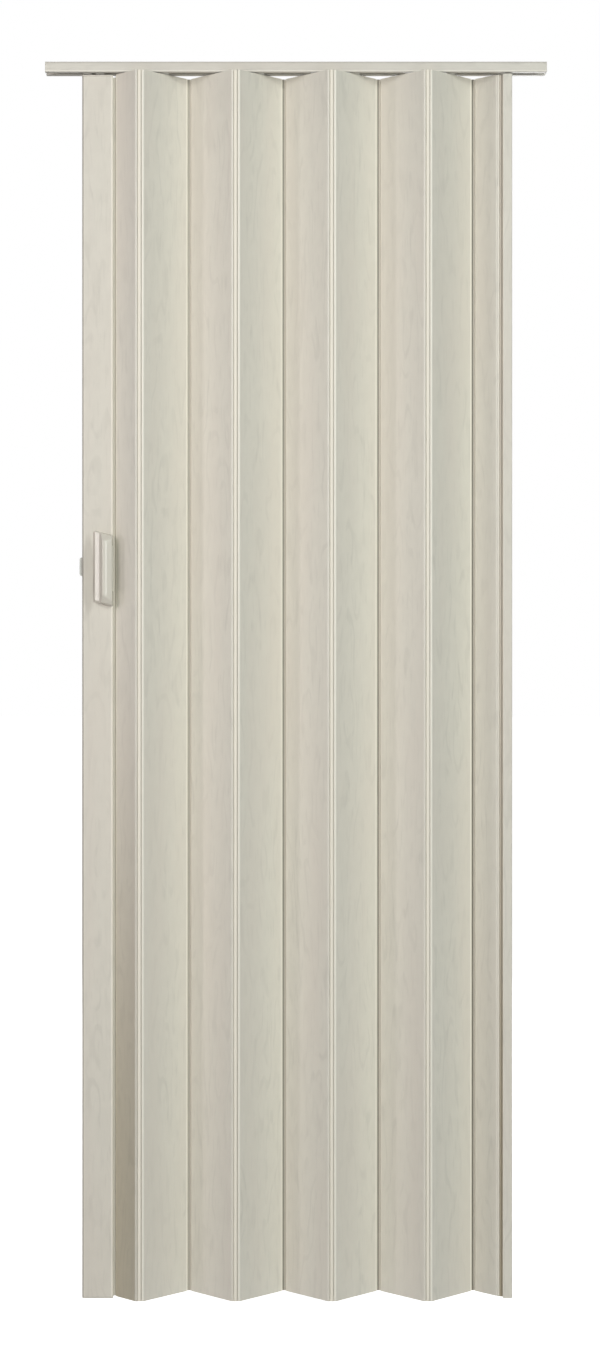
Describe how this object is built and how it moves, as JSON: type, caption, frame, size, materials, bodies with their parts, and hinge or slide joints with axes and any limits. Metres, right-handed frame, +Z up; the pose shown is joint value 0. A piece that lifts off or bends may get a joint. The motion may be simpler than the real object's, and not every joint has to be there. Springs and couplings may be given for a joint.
{
  "type": "accordion door",
  "caption": "Folding vinyl door: rigid hollow panels on flexible hinge strips between two posts, hung from an overhead track on trolleys, with a pull handle and a sliding latch.",
  "frame": {"origin": "centre of the track's top face, which is screwed up under the head of the doorway", "axes": "+Z up, +X along the track towards the post that is fixed to the wall, -Y out of the pictured face"},
  "size_m": [0.813, 0.0724, 2.0049],
  "materials": {
    "whitewashed_vinyl": "satin, faint vertical wood grain",
    "soft_hinge_vinyl": "satin",
    "post_vinyl": "satin, faint vertical wood grain",
    "track_vinyl": "satin",
    "handle_plastic": "semi-gloss",
    "latch_plastic": "satin",
    "nylon": "smooth",
    "steel": "zinc plated"
  },
  "bodies": {
    "frame": {"track": "track_vinyl", "jamb_post": "post_vinyl", "jamb_hinge_strip": "soft_hinge_vinyl", "jamb_hanger": "nylon"},
    "half_panel_right": {"half_panel_right": "whitewashed_vinyl"},
    "valley_strip_4": {"valley_strip_4": "soft_hinge_vinyl"},
    "panel_7": {"panel_7": "whitewashed_vinyl", "panel_hanger_7": "nylon"},
    "ridge_strip_4": {"ridge_strip_4": "soft_hinge_vinyl"},
    "panel_6": {"panel_6": "whitewashed_vinyl"},
    "valley_strip_3": {"valley_strip_3": "soft_hinge_vinyl"},
    "panel_5": {"panel_5": "whitewashed_vinyl", "panel_hanger_5": "nylon"},
    "ridge_strip_3": {"ridge_strip_3": "soft_hinge_vinyl"},
    "panel_4": {"panel_4": "whitewashed_vinyl"},
    "valley_strip_2": {"valley_strip_2": "soft_hinge_vinyl"},
    "panel_3": {"panel_3": "whitewashed_vinyl", "panel_hanger_3": "nylon"},
    "ridge_strip_2": {"ridge_strip_2": "soft_hinge_vinyl"},
    "panel_2": {"panel_2": "whitewashed_vinyl"},
    "valley_strip_1": {"valley_strip_1": "soft_hinge_vinyl"},
    "panel_1": {"panel_1": "whitewashed_vinyl", "panel_hanger_1": "nylon"},
    "ridge_strip_1": {"ridge_strip_1": "soft_hinge_vinyl"},
    "half_panel_left": {"half_panel_left": "whitewashed_vinyl"},
    "lead_post": {"lead_post": "post_vinyl", "lead_hinge_strip": "soft_hinge_vinyl", "lead_top_cap": "post_vinyl", "lead_bottom_cap": "post_vinyl", "trolley_5": "nylon", "trolley_pin_5": "steel", "trolley_6": "nylon", "trolley_pin_6": "steel", "handle_front": "handle_plastic", "handle_back": "handle_plastic", "handle_screw_top": "steel", "handle_screw_bottom": "steel"},
    "trolley_1": {"trolley_1": "nylon", "trolley_pin_1": "steel"},
    "trolley_2": {"trolley_2": "nylon", "trolley_pin_2": "steel"},
    "trolley_3": {"trolley_3": "nylon", "trolley_pin_3": "steel"},
    "trolley_4": {"trolley_4": "nylon", "trolley_pin_4": "steel"},
    "wheel_pair_1": {"wheel_pair_1": "nylon"},
    "wheel_pair_2": {"wheel_pair_2": "nylon"},
    "wheel_pair_3": {"wheel_pair_3": "nylon"},
    "wheel_pair_4": {"wheel_pair_4": "nylon"},
    "wheel_pair_5": {"wheel_pair_5": "nylon"},
    "wheel_pair_6": {"wheel_pair_6": "nylon"},
    "latch_turn": {"latch_turn": "latch_plastic"},
    "latch_bolt": {"latch_bolt": "latch_plastic"}
  },
  "joints": [
    {"name": "fold", "type": "hinge", "parent": "frame", "child": "half_panel_right", "pos_m": [0.329, 0, -1.0105], "axis": [0, 0, -1], "range_deg": [-6.7, 42]},
    {"name": "valley_strip_4_turn", "type": "hinge", "parent": "half_panel_right", "child": "valley_strip_4", "pos_m": [0.29559, 0.03379, -1.0105], "axis": [0, 0, 1], "range_deg": [-6.7, 42]},
    {"name": "panel_7_turn", "type": "hinge", "parent": "valley_strip_4", "child": "panel_7", "pos_m": [0.2849, 0.03379, -1.0105], "axis": [0, 0, 1], "range_deg": [-6.7, 42]},
    {"name": "ridge_strip_4_turn", "type": "hinge", "parent": "panel_7", "child": "ridge_strip_4", "pos_m": [0.21809, -0.03379, -1.0105], "axis": [0, 0, 1], "range_deg": [-42, 6.7]},
    {"name": "panel_6_turn", "type": "hinge", "parent": "ridge_strip_4", "child": "panel_6", "pos_m": [0.20739, -0.03379, -1.0105], "axis": [0, 0, 1], "range_deg": [-42, 6.7]},
    {"name": "valley_strip_3_turn", "type": "hinge", "parent": "panel_6", "child": "valley_strip_3", "pos_m": [0.14058, 0.03379, -1.0105], "axis": [0, 0, 1], "range_deg": [-6.7, 42]},
    {"name": "panel_5_turn", "type": "hinge", "parent": "valley_strip_3", "child": "panel_5", "pos_m": [0.12988, 0.03379, -1.0105], "axis": [0, 0, 1], "range_deg": [-6.7, 42]},
    {"name": "ridge_strip_3_turn", "type": "hinge", "parent": "panel_5", "child": "ridge_strip_3", "pos_m": [0.06307, -0.03379, -1.0105], "axis": [0, 0, 1], "range_deg": [-42, 6.7]},
    {"name": "panel_4_turn", "type": "hinge", "parent": "ridge_strip_3", "child": "panel_4", "pos_m": [0.05237, -0.03379, -1.0105], "axis": [0, 0, 1], "range_deg": [-42, 6.7]},
    {"name": "valley_strip_2_turn", "type": "hinge", "parent": "panel_4", "child": "valley_strip_2", "pos_m": [-0.01444, 0.03379, -1.0105], "axis": [0, 0, 1], "range_deg": [-6.7, 42]},
    {"name": "panel_3_turn", "type": "hinge", "parent": "valley_strip_2", "child": "panel_3", "pos_m": [-0.02514, 0.03379, -1.0105], "axis": [0, 0, 1], "range_deg": [-6.7, 42]},
    {"name": "ridge_strip_2_turn", "type": "hinge", "parent": "panel_3", "child": "ridge_strip_2", "pos_m": [-0.09195, -0.03379, -1.0105], "axis": [0, 0, 1], "range_deg": [-42, 6.7]},
    {"name": "panel_2_turn", "type": "hinge", "parent": "ridge_strip_2", "child": "panel_2", "pos_m": [-0.10265, -0.03379, -1.0105], "axis": [0, 0, 1], "range_deg": [-42, 6.7]},
    {"name": "valley_strip_1_turn", "type": "hinge", "parent": "panel_2", "child": "valley_strip_1", "pos_m": [-0.16946, 0.03379, -1.0105], "axis": [0, 0, 1], "range_deg": [-6.7, 42]},
    {"name": "panel_1_turn", "type": "hinge", "parent": "valley_strip_1", "child": "panel_1", "pos_m": [-0.18016, 0.03379, -1.0105], "axis": [0, 0, 1], "range_deg": [-6.7, 42]},
    {"name": "ridge_strip_1_turn", "type": "hinge", "parent": "panel_1", "child": "ridge_strip_1", "pos_m": [-0.24697, -0.03379, -1.0105], "axis": [0, 0, 1], "range_deg": [-42, 6.7]},
    {"name": "half_panel_left_turn", "type": "hinge", "parent": "ridge_strip_1", "child": "half_panel_left", "pos_m": [-0.25767, -0.03379, -1.0105], "axis": [0, 0, 1], "range_deg": [-42, 6.7]},
    {"name": "lead_post_turn", "type": "hinge", "parent": "half_panel_left", "child": "lead_post", "pos_m": [-0.29107, 0, -1.0105], "axis": [0, 0, 1], "range_deg": [-6.7, 42]},
    {"name": "trolley_1_swivel", "type": "hinge", "parent": "panel_1", "child": "trolley_1", "pos_m": [-0.21356, 0, -0.02], "axis": [0, 0, 1], "range_deg": [-42, 6.7]},
    {"name": "trolley_2_swivel", "type": "hinge", "parent": "panel_3", "child": "trolley_2", "pos_m": [-0.05854, 0, -0.02], "axis": [0, 0, 1], "range_deg": [-42, 6.7]},
    {"name": "trolley_3_swivel", "type": "hinge", "parent": "panel_5", "child": "trolley_3", "pos_m": [0.09647, 0, -0.02], "axis": [0, 0, 1], "range_deg": [-42, 6.7]},
    {"name": "trolley_4_swivel", "type": "hinge", "parent": "panel_7", "child": "trolley_4", "pos_m": [0.25149, 0, -0.02], "axis": [0, 0, 1], "range_deg": [-42, 6.7]},
    {"name": "wheel_pair_1_roll", "type": "hinge", "parent": "trolley_1", "child": "wheel_pair_1", "pos_m": [-0.21356, 0, -0.0094], "axis": [0, 1, 0], "continuous": true},
    {"name": "wheel_pair_2_roll", "type": "hinge", "parent": "trolley_2", "child": "wheel_pair_2", "pos_m": [-0.05854, 0, -0.0094], "axis": [0, 1, 0], "continuous": true},
    {"name": "wheel_pair_3_roll", "type": "hinge", "parent": "trolley_3", "child": "wheel_pair_3", "pos_m": [0.09647, 0, -0.0094], "axis": [0, 1, 0], "continuous": true},
    {"name": "wheel_pair_4_roll", "type": "hinge", "parent": "trolley_4", "child": "wheel_pair_4", "pos_m": [0.25149, 0, -0.0094], "axis": [0, 1, 0], "continuous": true},
    {"name": "wheel_pair_5_roll", "type": "hinge", "parent": "lead_post", "child": "wheel_pair_5", "pos_m": [-0.33862, 0, -0.0094], "axis": [0, 1, 0], "continuous": true},
    {"name": "wheel_pair_6_roll", "type": "hinge", "parent": "lead_post", "child": "wheel_pair_6", "pos_m": [-0.31862, 0, -0.0094], "axis": [0, 1, 0], "continuous": true},
    {"name": "latch_bolt_slide", "type": "slide", "parent": "lead_post", "child": "latch_bolt", "axis": [1, 0, 0], "range_m": [0, 0.0049]},
    {"name": "latch_turn", "type": "hinge", "parent": "lead_post", "child": "latch_turn", "pos_m": [-0.33677, 0, -0.818], "axis": [0, 1, 0], "range_deg": [0, 86]}
  ],
  "couplings": [
    {"joint": "valley_strip_4_turn", "follows": "fold", "ratio": 1},
    {"joint": "panel_7_turn", "follows": "fold", "ratio": 1},
    {"joint": "ridge_strip_4_turn", "follows": "fold", "ratio": -1},
    {"joint": "panel_6_turn", "follows": "fold", "ratio": -1},
    {"joint": "valley_strip_3_turn", "follows": "fold", "ratio": 1},
    {"joint": "panel_5_turn", "follows": "fold", "ratio": 1},
    {"joint": "ridge_strip_3_turn", "follows": "fold", "ratio": -1},
    {"joint": "panel_4_turn", "follows": "fold", "ratio": -1},
    {"joint": "valley_strip_2_turn", "follows": "fold", "ratio": 1},
    {"joint": "panel_3_turn", "follows": "fold", "ratio": 1},
    {"joint": "ridge_strip_2_turn", "follows": "fold", "ratio": -1},
    {"joint": "panel_2_turn", "follows": "fold", "ratio": -1},
    {"joint": "valley_strip_1_turn", "follows": "fold", "ratio": 1},
    {"joint": "panel_1_turn", "follows": "fold", "ratio": 1},
    {"joint": "ridge_strip_1_turn", "follows": "fold", "ratio": -1},
    {"joint": "half_panel_left_turn", "follows": "fold", "ratio": -1},
    {"joint": "lead_post_turn", "follows": "fold", "ratio": 1},
    {"joint": "trolley_1_swivel", "follows": "fold", "ratio": -1},
    {"joint": "trolley_2_swivel", "follows": "fold", "ratio": -1},
    {"joint": "trolley_3_swivel", "follows": "fold", "ratio": -1},
    {"joint": "trolley_4_swivel", "follows": "fold", "ratio": -1},
    {"joint": "latch_turn", "follows": "latch_bolt_slide", "rad_per_m": 306.3}
  ]
}
